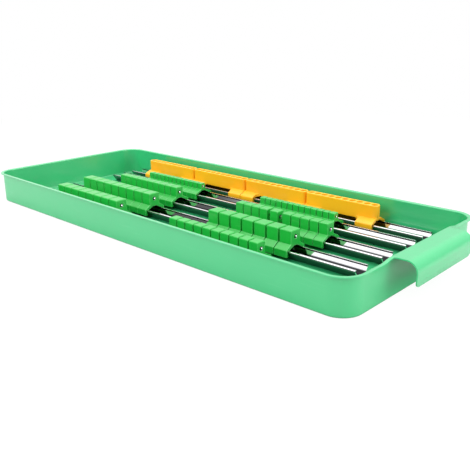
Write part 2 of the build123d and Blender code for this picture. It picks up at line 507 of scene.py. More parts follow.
class Graph:
    """A node tree, with a short way to add nodes and join them."""

    FACTOR, COLOUR_A, COLOUR_B = 0, 6, 7

    def __init__(self, tree: bpy.types.NodeTree) -> None:
        """Work on this tree."""
        self.tree = tree

    def add(self, kind: str, inputs: dict | None = None, **settings: object) -> bpy.types.Node:
        """Add a node.

        Args:
            kind: its type, such as ShaderNodeTexNoise.
            inputs: value or output for each input, by name or number.
            settings: its other settings.

        Returns:
            The node.
        """
        node = self.tree.nodes.new(kind)
        for name, value in settings.items():
            setattr(node, name, value)
        self.feed(node, inputs or {})
        return node

    def feed(self, node: bpy.types.Node, inputs: dict) -> None:
        """Give a node's inputs, by name or number, their values or link them to outputs."""
        for name, value in inputs.items():
            if isinstance(value, bpy.types.NodeSocket):
                self.tree.links.new(value, node.inputs[name])
            else:
                node.inputs[name].default_value = value

    def place(self) -> bpy.types.NodeSocket:
        """Return the place of the point in the piece's own space."""
        return self.add("ShaderNodeTexCoord").outputs["Object"]

    def parts(self, vector: bpy.types.NodeSocket) -> bpy.types.NodeOutputs:
        """Split a vector and return its X, Y and Z."""
        return self.add("ShaderNodeSeparateXYZ", {"Vector": vector}).outputs

    def sum(self, kind: str, *values: object) -> bpy.types.NodeSocket:
        """Add a Math node of one kind and return its output."""
        inputs = dict(enumerate(values))
        return self.add("ShaderNodeMath", inputs, operation=kind).outputs[0]

    def ramp(self, value: object, low: float, high: float) -> bpy.types.NodeSocket:
        """Stretch a value so that low becomes 0 and high becomes 1, and return the output."""
        inputs = {"Value": value, "From Min": low, "From Max": high}
        return self.add("ShaderNodeMapRange", inputs, clamp=True).outputs["Result"]

    def blend(self, share: object, first: object, second: object) -> bpy.types.NodeSocket:
        """Mix two colours by a share and return the output."""
        inputs = {self.FACTOR: share, self.COLOUR_A: first, self.COLOUR_B: second}
        return self.add("ShaderNodeMix", inputs, data_type="RGBA").outputs[2]

    def noise(
        self, place: bpy.types.NodeSocket, scale: object, detail: float = 2.0
    ) -> bpy.types.NodeSocket:
        """Add a noise texture and return its value."""
        inputs = {"Vector": place, "Scale": scale, "Detail": detail}
        return self.add("ShaderNodeTexNoise", inputs).outputs["Fac"]

    def effect(self, group: bpy.types.NodeTree, inputs: dict) -> bpy.types.Node:
        """Place a shader group with its values and return its node."""
        node = self.tree.nodes.new("ShaderNodeGroup")
        node.node_tree = group
        self.feed(node, inputs)
        return node


class Effects:
    """The shader groups that more than one finish uses, each built once."""

    MOTTLE_DETAIL = 3.0
    MOTTLE_MIDDLE = 0.5
    SCUFF_STRETCH = (0.06, 1.0, 1.0)
    SCUFF_DETAIL = 1.0
    SCUFF_LINES = (0.62, 0.7)
    PATCH_SCALE = 30.0
    PATCHES = (0.45, 0.65)
    DUST_FACING = (0.75, 1.0)
    DUST_SCALE = 900.0
    DUST_DETAIL = 4.0
    DUST_SPECKS = (0.5, 0.8)

    def __init__(self) -> None:
        """Build every group."""
        self.mottle = self._mottle()
        self.grain = self._grain()
        self.scuffs = self._scuffs()
        self.dust = self._dust()

    @staticmethod
    def _group(name: str, inputs: dict[str, str], outputs: dict[str, str]) -> tuple[
        bpy.types.NodeTree, Graph, bpy.types.Node, bpy.types.Node
    ]:
        """Start a group.

        Args:
            name: name of the group.
            inputs: kind of each input socket, by name.
            outputs: kind of each output socket, by name.

        Returns:
            The group, its graph, and its input and output nodes.
        """
        group = bpy.data.node_groups.new(name, "ShaderNodeTree")
        for label, kind in inputs.items():
            group.interface.new_socket(label, in_out="INPUT", socket_type=f"NodeSocket{kind}")
        for label, kind in outputs.items():
            group.interface.new_socket(label, in_out="OUTPUT", socket_type=f"NodeSocket{kind}")
        graph = Graph(group)
        return group, graph, graph.add("NodeGroupInput"), graph.add("NodeGroupOutput")

    def _mottle(self) -> bpy.types.NodeTree:
        """Slow changes of a colour's brightness over a surface."""
        group, graph, start, end = self._group(
            "Colour mottle",
            {"Place": "Vector", "Color": "Color", "Scale": "Float", "Amount": "Float"},
            {"Color": "Color"},
        )
        cloud = graph.noise(start.outputs["Place"], start.outputs["Scale"], self.MOTTLE_DETAIL)
        swing = graph.sum("SUBTRACT", cloud, self.MOTTLE_MIDDLE)
        value = graph.sum("MULTIPLY_ADD", swing, start.outputs["Amount"], 1.0)
        changed = graph.add(
            "ShaderNodeHueSaturation", {"Color": start.outputs["Color"], "Value": value}
        )
        group.links.new(changed.outputs["Color"], end.inputs["Color"])
        return group

    def _grain(self) -> bpy.types.NodeTree:
        """Fine unevenness as a height, stretched along X where asked."""
        group, graph, start, end = self._group(
            "Surface grain",
            {"Place": "Vector", "Scale": "Float", "Stretch": "Float"},
            {"Height": "Float"},
        )
        squeeze = graph.sum("DIVIDE", 1.0, start.outputs["Stretch"])
        size = graph.add("ShaderNodeCombineXYZ", {"X": squeeze, "Y": 1.0, "Z": 1.0})
        place = graph.add(
            "ShaderNodeVectorMath",
            {0: start.outputs["Place"], 1: size.outputs["Vector"]},
            operation="MULTIPLY",
        )
        height = graph.noise(place.outputs["Vector"], start.outputs["Scale"])
        group.links.new(height, end.inputs["Height"])
        return group

    def _scuffs(self) -> bpy.types.NodeTree:
        """Thin rubbed lines along X as a mask."""
        group, graph, start, end = self._group(
            "Handling scuffs",
            {"Place": "Vector", "Scale": "Float", "Amount": "Float"},
            {"Mask": "Float"},
        )
        lines = graph.add(
            "ShaderNodeMapping",
            {"Vector": start.outputs["Place"], "Scale": self.SCUFF_STRETCH},
        )
        thin = graph.noise(lines.outputs["Vector"], start.outputs["Scale"], self.SCUFF_DETAIL)
        sharp = graph.ramp(thin, *self.SCUFF_LINES)
        patches = graph.ramp(
            graph.noise(start.outputs["Place"], self.PATCH_SCALE), *self.PATCHES
        )
        mask = graph.sum("MULTIPLY", graph.sum("MULTIPLY", sharp, patches), start.outputs["Amount"])
        group.links.new(mask, end.inputs["Mask"])
        return group

    def _dust(self) -> bpy.types.NodeTree:
        """Dust that settles on what faces up, as a mask."""
        group, graph, start, end = self._group(
            "Settled dust", {"Place": "Vector", "Amount": "Float"}, {"Mask": "Float"}
        )
        facing = graph.add("ShaderNodeNewGeometry").outputs["Normal"]
        flat = graph.ramp(graph.parts(facing)["Z"], *self.DUST_FACING)
        grit = graph.noise(start.outputs["Place"], self.DUST_SCALE, self.DUST_DETAIL)
        specks = graph.ramp(grit, *self.DUST_SPECKS)
        mask = graph.sum("MULTIPLY", graph.sum("MULTIPLY", flat, specks), start.outputs["Amount"])
        group.links.new(mask, end.inputs["Mask"])
        return group


def plain_material(name: str) -> tuple[bpy.types.Material, Graph, bpy.types.Node]:
    """An empty material.

    Args:
        name: name of the material.

    Returns:
        The material, its graph and its Principled BSDF.
    """
    material = bpy.data.materials.new(name)
    material.use_nodes = True
    shader = material.node_tree.nodes["Principled BSDF"]
    return material, Graph(material.node_tree), shader


@dataclass
class Surface:
    """A material in the making, with the outputs that a finish goes on from."""

    material: bpy.types.Material
    graph: Graph
    shader: bpy.types.Node
    place: bpy.types.NodeSocket
    colour: bpy.types.NodeSocket
    scuffs: bpy.types.NodeSocket
    grain: bpy.types.NodeSocket


@dataclass(frozen=True)
class Finish:
    """What every finish has: a mottled colour, scuffs, and a grain that the light shows."""

    name: str
    colour: Colour
    roughness: float
    swing: float
    mottle_scale: float
    mottling: float
    scuff_scale: float
    scuffing: float
    grain_scale: float
    grain_stretch: float
    grain_depth: float
    grain_height: float

    def _start(self, effects: Effects) -> Surface:
        """Start the material from the shared effects, its grain joined, and return it."""
        material, graph, shader = plain_material(self.name)
        place = graph.place()
        mottle = {"Color": self.colour, "Scale": self.mottle_scale, "Amount": self.mottling}
        scuffs = {"Scale": self.scuff_scale, "Amount": self.scuffing}
        grain = {"Scale": self.grain_scale, "Stretch": self.grain_stretch}
        colour, rubbed, height = (
            graph.effect(group, {"Place": place, **values}).outputs[0]
            for group, values in (
                (effects.mottle, mottle),
                (effects.scuffs, scuffs),
                (effects.grain, grain),
            )
        )
        relief = {"Height": height, "Strength": self.grain_depth, "Distance": self.grain_height}
        bump = graph.add("ShaderNodeBump", relief)
        graph.feed(shader, {"Normal": bump.outputs["Normal"]})
        return Surface(material, graph, shader, place, colour, rubbed, height)

    def _roughness(self, graph: Graph, cloud: bpy.types.NodeSocket) -> bpy.types.NodeSocket:
        """Let the roughness swing with an output that goes from 0 to 1, and return it."""
        return graph.sum("MULTIPLY_ADD", cloud, self.swing, self.roughness - self.swing / 2)


@dataclass(frozen=True)
class Paint(Finish):
    """Glossy powder coat over pressed steel, with a fine orange-peel skin and a rubbed rim."""

    name: str = "Tray paint"
    colour: Colour = (0.032, 0.465, 0.170, 1.0)
    roughness: float = 0.34
    swing: float = 0.10
    mottle_scale: float = 14.0
    mottling: float = 0.10
    scuff_scale: float = 420.0
    scuffing: float = 0.03
    grain_scale: float = 700.0
    grain_stretch: float = 1.0
    grain_depth: float = 0.12
    grain_height: float = 0.00015
    cloud_scale: float = 90.0
    rubbed: Colour = (0.42, 0.83, 0.58, 1.0)
    spot_scale: float = 55.0
    spot_detail: float = 3.0
    spots: Flat = (0.68, 0.90)
    rim: Flat = (0.0324, 0.0329)
    dust: float = 0.05
    dust_colour: Colour = (0.6, 0.62, 0.58, 1.0)
    index: float = 1.6
    gloss: float = 0.8
    gloss_roughness: float = 0.22

    def material(self, effects: Effects) -> bpy.types.Material:
        """Build the material from the shared effects and return it."""
        base = self._start(effects)
        graph, place = base.graph, base.place
        at_rim = graph.ramp(graph.parts(place)["Z"], *self.rim)
        spots = graph.ramp(graph.noise(place, self.spot_scale, self.spot_detail), *self.spots)
        marks = graph.sum("MAXIMUM", graph.sum("MULTIPLY", at_rim, spots), base.scuffs)
        painted = graph.blend(marks, base.colour, self.rubbed)
        dust = graph.effect(effects.dust, {"Place": place, "Amount": self.dust}).outputs["Mask"]
        graph.feed(
            base.shader,
            {
                "Base Color": graph.blend(dust, painted, self.dust_colour),
                "Roughness": self._roughness(graph, graph.noise(place, self.cloud_scale)),
                "IOR": self.index,
                "Coat Weight": self.gloss,
                "Coat Roughness": self.gloss_roughness,
            },
        )
        return base.material


@dataclass(frozen=True)
class BrightMetal(Finish):
    """Polished or plated steel, with painted shade where it faces down and in the light it bounces onto nearby parts.
    """

    swing: float = 0.05
    mottle_scale: float = 40.0
    mottling: float = 0.08
    scuff_scale: float = 900.0
    scuffing: float = 0.2
    scuff_roughness: float = 0.18
    grain_scale: float = 1500.0
    grain_stretch: float = 1.0
    grain_depth: float = 0.02
    grain_height: float = 0.00005
    # colour of the painted shade that the shade masks put on the metal
    shaded: Colour = (0.03, 0.033, 0.035, 1.0)
    below: Flat = (-0.05, -0.25)
    shade_below: float = 0.85
    shade_bounced: float = 0.6

    def _shade(
        self, graph: Graph, place: bpy.types.NodeSocket, normal: bpy.types.NodeOutputs
    ) -> bpy.types.NodeSocket:
        """Where painted shade darkens the metal's colour, as a mask from 0 to 1.

        Args:
            graph: the material's graph.
            place: place of the point, as a vector.
            normal: X, Y and Z of the surface's direction, split.

        Returns:
            The mask's output.
        """
        # painted shade: metal that faces down is darkened, standing in for the shade and the dark floor that it
        # reflects
        return graph.sum("MULTIPLY", graph.ramp(normal["Z"], *self.below), self.shade_below)

    def material(self, effects: Effects) -> bpy.types.Material:
        """Build the material from the shared effects and return it."""
        base = self._start(effects)
        graph = base.graph
        rough = self._roughness(graph, base.grain)
        normal = graph.parts(graph.add("ShaderNodeNewGeometry").outputs["Normal"])
        # painted shade: for bounced light the metal is darkened, so less light reaches the parts near it, such as
        # under the clips' arches
        bounced = graph.add("ShaderNodeLightPath").outputs["Is Diffuse Ray"]
        painted_bounce_shade = graph.sum("MULTIPLY", bounced, self.shade_bounced)
        shade = graph.sum("MAXIMUM", self._shade(graph, base.place, normal), painted_bounce_shade)
        graph.feed(
            base.shader,
            {
                "Base Color": graph.blend(shade, base.colour, self.shaded),
                "Roughness": graph.sum("MULTIPLY_ADD", base.scuffs, self.scuff_roughness, rough),
                "Metallic": 1.0,
            },
        )
        return base.material


@dataclass(frozen=True)
class RailMetal(BrightMetal):
    """Bright channel metal with painted shade on its floor and on the faces of its lips."""

    floor: Flat = (0.0052, 0.0043)
    floor_shade_facing: Flat = (0.2, 0.5)
    lip: Flat = (0.0076, 0.0082)
    lip_shade_facing: Flat = (0.85, 0.6)
    lip_shade: float = 0.65

    def _shade(
        self, graph: Graph, place: bpy.types.NodeSocket, normal: bpy.types.NodeOutputs
    ) -> bpy.types.NodeSocket:
        """Add painted shade on the channel's floor and lips to the mask, and return it."""
        level = graph.parts(place)["Z"]
        # painted shade: the channel's floor, low and facing up, is darkened where the walls and lips shade it
        low = graph.ramp(level, *self.floor)
        floor = graph.sum("MULTIPLY", low, graph.ramp(normal["Z"], *self.floor_shade_facing))
        # painted shade: upright faces near the lips' height are darkened, as if in the shade under the lips
        upright = graph.ramp(graph.sum("ABSOLUTE", normal["Z"]), *self.lip_shade_facing)
        high = graph.sum("MULTIPLY", graph.ramp(level, *self.lip), upright)
        lips = graph.sum("MULTIPLY", high, self.lip_shade)
        below = super()._shade(graph, place, normal)
        return graph.sum("MAXIMUM", graph.sum("MAXIMUM", floor, lips), below)


@dataclass(frozen=True)
class BallMetal(BrightMetal):
    """Bright ball metal with a ring of painted shade where the ball meets its mouth, away from +X."""

    ring: Flat = (0.9, 0.78)

    def _shade(
        self, graph: Graph, place: bpy.types.NodeSocket, normal: bpy.types.NodeOutputs
    ) -> bpy.types.NodeSocket:
        """Paint shade on what faces away from the post's right side, and return the mask."""
        # painted shade: the ball's colour darkens as its surface turns away from +X into the mouth
        return graph.ramp(normal["X"], *self.ring)


@dataclass(frozen=True)
class Plastic(Finish):
    """Moulded plastic with a faint mould texture and a painted highlight along its edges."""

    swing: float = 0.12
    mottle_scale: float = 60.0
    mottling: float = 0.10
    scuff_scale: float = 700.0
    scuffing: float = 0.05
    grain_scale: float = 2600.0
    grain_stretch: float = 1.0
    grain_depth: float = 0.10
    grain_height: float = 0.00004
    cloud_scale: float = 180.0
    dust: float = 0.04
    marked: Colour = (0.72, 0.76, 0.70, 1.0)
    edge: float = 0.0006
    edge_samples: int = 4
    edge_bend: Flat = (0.995, 0.9)
    edge_highlight_share: float = 0.4
    edge_highlight_colour: Colour = (0.72, 0.76, 0.70, 1.0)
    index: float = 1.5
    gloss: float = 0.0

    def material(self, effects: Effects) -> bpy.types.Material:
        """Build the material from the shared effects and return it."""
        base = self._start(effects)
        graph, place = base.graph, base.place
        dust = graph.effect(effects.dust, {"Place": place, "Amount": self.dust}).outputs["Mask"]
        marks = graph.sum("MAXIMUM", base.scuffs, dust)
        marked = graph.blend(marks, base.colour, self.marked)
        # painted highlight: a pale colour along the rounded edges, found with the Bevel node, stands in for the light
        # that the edges catch
        bevel = graph.add("ShaderNodeBevel", {"Radius": self.edge}, samples=self.edge_samples)
        flat = graph.add("ShaderNodeNewGeometry").outputs["True Normal"]
        normals = {0: bevel.outputs["Normal"], 1: flat}
        alike = graph.add("ShaderNodeVectorMath", normals, operation="DOT_PRODUCT")
        bent = graph.ramp(alike.outputs["Value"], *self.edge_bend)
        edge_highlight = graph.sum("MULTIPLY", bent, self.edge_highlight_share)
        graph.feed(
            base.shader,
            {
                "Base Color": graph.blend(edge_highlight, marked, self.edge_highlight_colour),
                "Roughness": self._roughness(graph, graph.noise(place, self.cloud_scale)),
                "IOR": self.index,
                "Coat Weight": self.gloss,
            },
        )
        return base.material


class Finishes:
    """Every finish of the object, built once."""

    RAIL = RailMetal("Rail chrome", (0.86, 0.87, 0.88, 1.0), 0.07, grain_stretch=40.0)
    RIVET = BrightMetal("Rivet zinc", (0.62, 0.63, 0.65, 1.0), 0.3)
    BALL = BallMetal("Ball steel", (0.90, 0.90, 0.91, 1.0), 0.05, scuffing=0.1)
    SPRING = BrightMetal("Spring steel", (0.55, 0.56, 0.58, 1.0), 0.25)
    CLIP = Plastic(
        "Clip plastic",
        (0.012, 0.405, 0.044, 1.0),
        0.34,
        gloss=0.3,
        edge_highlight_colour=(0.42, 0.92, 0.50, 1.0),
    )
    HOLDER = Plastic(
        "Holder plastic",
        (0.99, 0.45, 0.010, 1.0),
        0.38,
        gloss=0.1,
        edge_highlight_colour=(1.0, 0.66, 0.12, 1.0),
    )

    def __init__(self, effects: Effects) -> None:
        """Build the materials from the shared effects."""
        self.paint = Paint().material(effects)
        self.rail = self.RAIL.material(effects)
        self.rivet = self.RIVET.material(effects)
        self.ball = self.BALL.material(effects)
        self.spring = self.SPRING.material(effects)
        self.clip = self.CLIP.material(effects)
        self.holder = self.HOLDER.material(effects)


@dataclass
class TrayShell:
    """Pressed sheet tub: floor, walls, flanged rim, and the handle drawn out of the right wall."""

    length: float = 0.4826
    width: float = 0.1955
    height: float = 0.033
    corner_radius: float = 0.018
    gauge: float = 0.001
    floor_bend: float = 0.0012
    rim_bend: float = 0.0012
    rim_overhang: float = 0.0025
    rim_dip: float = 0.0018
    rim_dip_length: float = 0.012
    handle_width: float = 0.089
    handle_flat: float = 0.0118
    handle_roll: float = 0.0088
    handle_curl: float = 0.050
    handle_curl_angle: float = 12.2
    handle_corner: float = 0.005
    handle_root: float = 0.002
    handle_columns: int = 28
    beside_columns: int = 8
    corner_steps: int = 14
    foot_steps: int = 6
    crown_steps: int = 5
    root_steps: int = 8
    roll_steps: int = 14
    end_steps: int = 8
    edge: float = 0.00028
    rivet_radius: float = 0.00165
    rivet_x: float = 0.095
    rivet_sides: int = 24

    @property
    def root_half(self) -> float:
        """Half width of the handle where its root fillets leave the rim."""
        return self.handle_width / 2 + self.handle_root

    def _right_stations(self, core: float) -> list[float]:
        """Y of the points along the right wall, between its two corners.

        Args:
            core: half length of the straight part of the wall.

        Returns:
            The places in order, with the handle's own columns in the middle.
        """
        handle = [self.root_half * share for share in spread(-1.0, 1.0, self.handle_columns)]
        beside = spread(self.root_half, core, self.beside_columns)[1:-1]
        return [-place for place in reversed(beside)] + handle + beside

    def _outline(self, out: float) -> list[Flat]:
        """The wall line seen from above.

        Args:
            out: distance outside the inner face of the wall.

        Returns:
            Points anticlockwise from the right wall's front end.
        """
        radius = self.corner_radius - self.gauge + out
        core_x = self.length / 2 - self.corner_radius
        core_y = self.width / 2 - self.corner_radius
        right = core_x + radius
        points = [(right, place) for place in self._right_stations(core_y)]
        for number, centre in enumerate(
            [(core_x, core_y), (-core_x, core_y), (-core_x, -core_y), (core_x, -core_y)]
        ):
            points += arc(centre, radius, 90 * number, 90 * number + 90, self.corner_steps)
        return points

    def _section(self) -> list[Flat]:
        """Section of the upper skin from the floor to the rim's edge, as (out, height)."""
        bend = self.floor_bend
        foot = arc((-bend, self.gauge + bend), bend, -90, 0, self.foot_steps)
        centre = (self.rim_bend, self.height - self.rim_bend)
        crown = arc(centre, self.rim_bend, 180, 90, self.crown_steps)
        return foot + crown + [(self.gauge + self.rim_overhang, self.height)]

    def _dip(self, x: float, y: float, share: float) -> float:
        """How much lower the rim of the right wall lies beside the handle.

        Args:
            x: place along the tray.
            y: place across the tray.
            share: how near the point is to the rim, from 0 at the wall's foot to 1.

        Returns:
            The drop in metres.
        """
        away = (abs(y) - self.root_half) / self.rim_dip_length
        corner = self.length / 2 - self.corner_radius
        back = 1 - (corner - x) / self.corner_radius if x < corner else 1.0
        return self.rim_dip * share * eased(away) * eased(back)

    def _handle_rows(self) -> list[tuple[float, float, float]]:
        """Rows of the handle's upper skin as (x, z, half width), from its root to its end."""
        edge = self.length / 2 + self.rim_overhang
        flat_end = self.length / 2 + self.handle_flat
        roll = (flat_end, self.height - self.handle_roll)
        half = self.handle_width / 2
        root = (edge + self.handle_root, self.root_half)
        fillet = arc(root, self.handle_root, 180, 270, self.root_steps)[1:]
        rows = [(x, self.height, width) for x, width in fillet]
        rows += [(x, z, half) for x, z in arc(roll, self.handle_roll, 90, 0, self.roll_steps)]
        centre = (flat_end + self.handle_roll - self.handle_curl, roll[1])
        end = roll[1] - self.handle_curl * math.sin(math.radians(self.handle_curl_angle))
        middle = (half - self.handle_corner, end + self.handle_corner)
        for width, z in arc(middle, self.handle_corner, 0, -90, self.end_steps):
            x = centre[0] + math.sqrt(self.handle_curl**2 - (centre[1] - z) ** 2)
            rows.append((x, z, width))
        return rows

    def _upper_skin(self) -> bpy.types.Mesh:
        """The sheet's upper skin: floor, walls, rim and handle. Returns an open mesh."""
        shape = Shape()
        rows: list[list[int]] = []
        section = self._section()
        for out, level in section:
            share = max(level - self.height / 2, 0.0) / (self.height / 2)
            rows.append(
                shape.row((x, y, level - self._dip(x, y, share)) for x, y in self._outline(out))
            )
        shape.cap(rows[0])
        shape.skin(rows)
        columns = len(self._right_stations(self.width / 2 - self.corner_radius))
        start = (columns - self.handle_columns - 1) // 2
        above = rows[-1][start : start + self.handle_columns + 1]
        shares = spread(-1.0, 1.0, self.handle_columns)
        for x, z, half in self._handle_rows():
            below = shape.row((x, half * share, z) for share in shares)
            shape.strip(above, below, closed=False)
            above = below
        return shape.mesh("tray_skin", outward=False)

    def build(self, finishes: Finishes, rows: Sequence[float]) -> None:
        """Make the shell and dress it.

        Args:
            finishes: the materials.
            rows: Y of each rail, where the rivets go through the floor.
        """
        piece = made("tray_sheet", self._upper_skin())
        sheet = piece.modifiers.new("Gauge", "SOLIDIFY")
        sheet.thickness = self.gauge
        sheet.offset = -1.0
        sheet.use_even_offset = True
        solid = settled(piece, "tray_solid")
        holes = Shape()
        for row in rows:
            for side in (-1, 1):
                place = Matrix.Translation((side * self.rivet_x, row, 0.0))
                ends = [(self.rivet_radius, 2 * self.gauge), (self.rivet_radius, -self.gauge)]
                holes.lathe(ends, place, self.rivet_sides)
        drilled = cut(solid, holes.mesh("rivet_holes"), "tray_sheet")
        fit(
            "tray_sheet", drilled, finishes.paint, "tray_paint", "tray", ["tray_shell"], self.edge
        )


@dataclass
class Rails:
    """Bright channels with flared walls and in-turned lips, and the rivets that hold them."""

    names: tuple[str, ...] = tuple(
        f"{row}_rail" for row in ("front", "second", "middle", "fourth", "rear")
    )
    gauge: float = 0.001
    floor: float = 0.001
    top: float = 0.0094
    floor_half: float = 0.005
    flare: float = 0.0059212
    lip_half: float = 0.0075
    floor_radius: float = 0.0018
    lip_radius: float = 0.0011
    bend_steps: int = 5
    edge: float = 0.00018
    rivet_x: float = 0.095
    rivet_radius: float = 0.0016
    rivet_head: float = 0.003
    rivet_dome: float = 0.0008
    rivet_tail: tuple[Flat, ...] = ((0.00096, 0.00015), (0.0016, 0.00002))
    rivet_brim: float = 0.00291
    dome_turn: Flat = (0.15, 0.48 * math.pi)
    dome_steps: int = 5
    rivet_sides: int = 28

    def rows(self) -> list[float]:
        """Y of each rail's centre line."""
        return [row_of(name) for name in self.names]

    def _section(self) -> tuple[list[Flat], list[Flat]]:
        """Outer and inner line of the channel as (across, height), point for point."""
        wide = self.floor_half + self.flare
        half = [
            ((self.floor_half, self.floor), self.floor_radius),
            ((wide, self.top), self.lip_radius),
            ((self.lip_half, self.top), 0.0),
        ]
        other = [((-across, up), radius) for (across, up), radius in reversed(half)]
        outer = rounded_path(other + half, self.bend_steps, closed=False)
        normals = path_normals(outer, closed=False)
        inner = [
            (across - normal.x * self.gauge, up - normal.y * self.gauge)
            for (across, up), normal in zip(outer, normals)
        ]
        return outer, inner

    def _channel(self, name: str) -> bpy.types.Mesh:
        """One rail's mesh, as long as its CAD node."""
        low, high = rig.box(name)
        row = row_of(name)
        outer, inner = self._section()
        shape = Shape()
        near, far = (
            [shape.row((x, row + across, up) for across, up in line) for line in (inner, outer)]
            for x in (low.x, high.x)
        )
        shape.sheet(near, far)
        return shape.mesh(name)

    def _rivets(self) -> bpy.types.Mesh:
        """Domed rivets through the rail floors, flush under the tray."""
        shape = Shape()
        seat = self.floor + self.gauge
        dome = [
            (self.rivet_head * math.cos(turn), seat + self.rivet_dome * math.sin(turn))
            for turn in spread(*self.dome_turn, self.dome_steps)
        ]
        profile = [*self.rivet_tail, (self.rivet_radius, seat), (self.rivet_brim, seat), *dome]
        for row in self.rows():
            for side in (-1, 1):
                place = Matrix.Translation((side * self.rivet_x, row, 0.0))
                shape.lathe(profile, place, self.rivet_sides)
        return shape.mesh("rivets")

    def build(self, finishes: Finishes) -> None:
        """Make the rails and rivets and dress them."""
        for name in self.names:
            channel = self._channel(name)
            fit(
                f"{name}_channel", channel, finishes.rail, "rail_metal", "tray", [name], self.edge
            )
        fit("rivets", self._rivets(), finishes.rivet, "rivet_metal", "tray", ["rail_rivets"])


@dataclass(frozen=True)
class DriveSizes:
    """Sizes of one socket drive: its post, the base under it and its ball."""

    post: float
    height: float
    margin: float
    ball: float
    proud: float
    drop: float
    top_round: float
    side_round: float

    @property
    def base(self) -> float:
        """Length of the clip's base along the rail."""
        return self.post + self.margin


class Drive(Enum):
    """The three socket drives of the tray."""

    HALF_INCH = DriveSizes(0.0126, 0.0121, 0.0009, 0.0019, 0.00085, 0.006, 0.0012, 0.0006)
    THREE_EIGHTHS = DriveSizes(0.0095, 0.0106, 0.00045, 0.0019, 0.00085, 0.006, 0.0011, 0.0005)
    QUARTER_INCH = DriveSizes(0.00635, 0.0068, 0.0007, 0.0014, 0.0006, 0.0036, 0.0008, 0.0004)


@dataclass(frozen=True)
class Saddle:
    """The part of a clip that straddles a rail, as a half section across it."""

    under: float = 0.0096
    inner: float = 0.0109
    outer: float = 0.0125
    barb: float = 0.0091
    bottom: float = 0.0042
    shoulder: float = 0.0104
    crest: float = 0.0143
    arch_foot: float = 0.0082
    arch_half: float = 0.0022
    arch_rise: float = 0.0031
    edge: float = 0.00025
    arch_round: float = 0.0008
    arch_foot_round: float = 0.0006
    inner_round: float = 0.0003
    barb_round: float = 0.0004
    skirt_round: float = 0.0006
    shoulder_round: float = 0.0009
    crest_round: float = 0.0005

    def corners(self, post_half: float, top: float, top_round: float) -> list[tuple[Flat, float]]:
        """Half section with its post, from under the arch to the post's top.

        Args:
            post_half: half width of the post.
            top: height of the post's top.
            top_round: radius along the post's top edge.

        Returns:
            Corners as (across, height), each with its radius.
        """
        return [
            ((self.arch_half, self.under + self.arch_rise), self.arch_round),
            ((self.arch_foot, self.under), self.arch_foot_round),
            ((self.inner, self.under), self.inner_round),
            ((self.barb, self.bottom), self.barb_round),
            ((self.outer, self.bottom), self.skirt_round),
            ((self.outer, self.shoulder), self.shoulder_round),
            ((post_half, self.crest), self.crest_round),
            ((post_half, top), top_round),
        ]


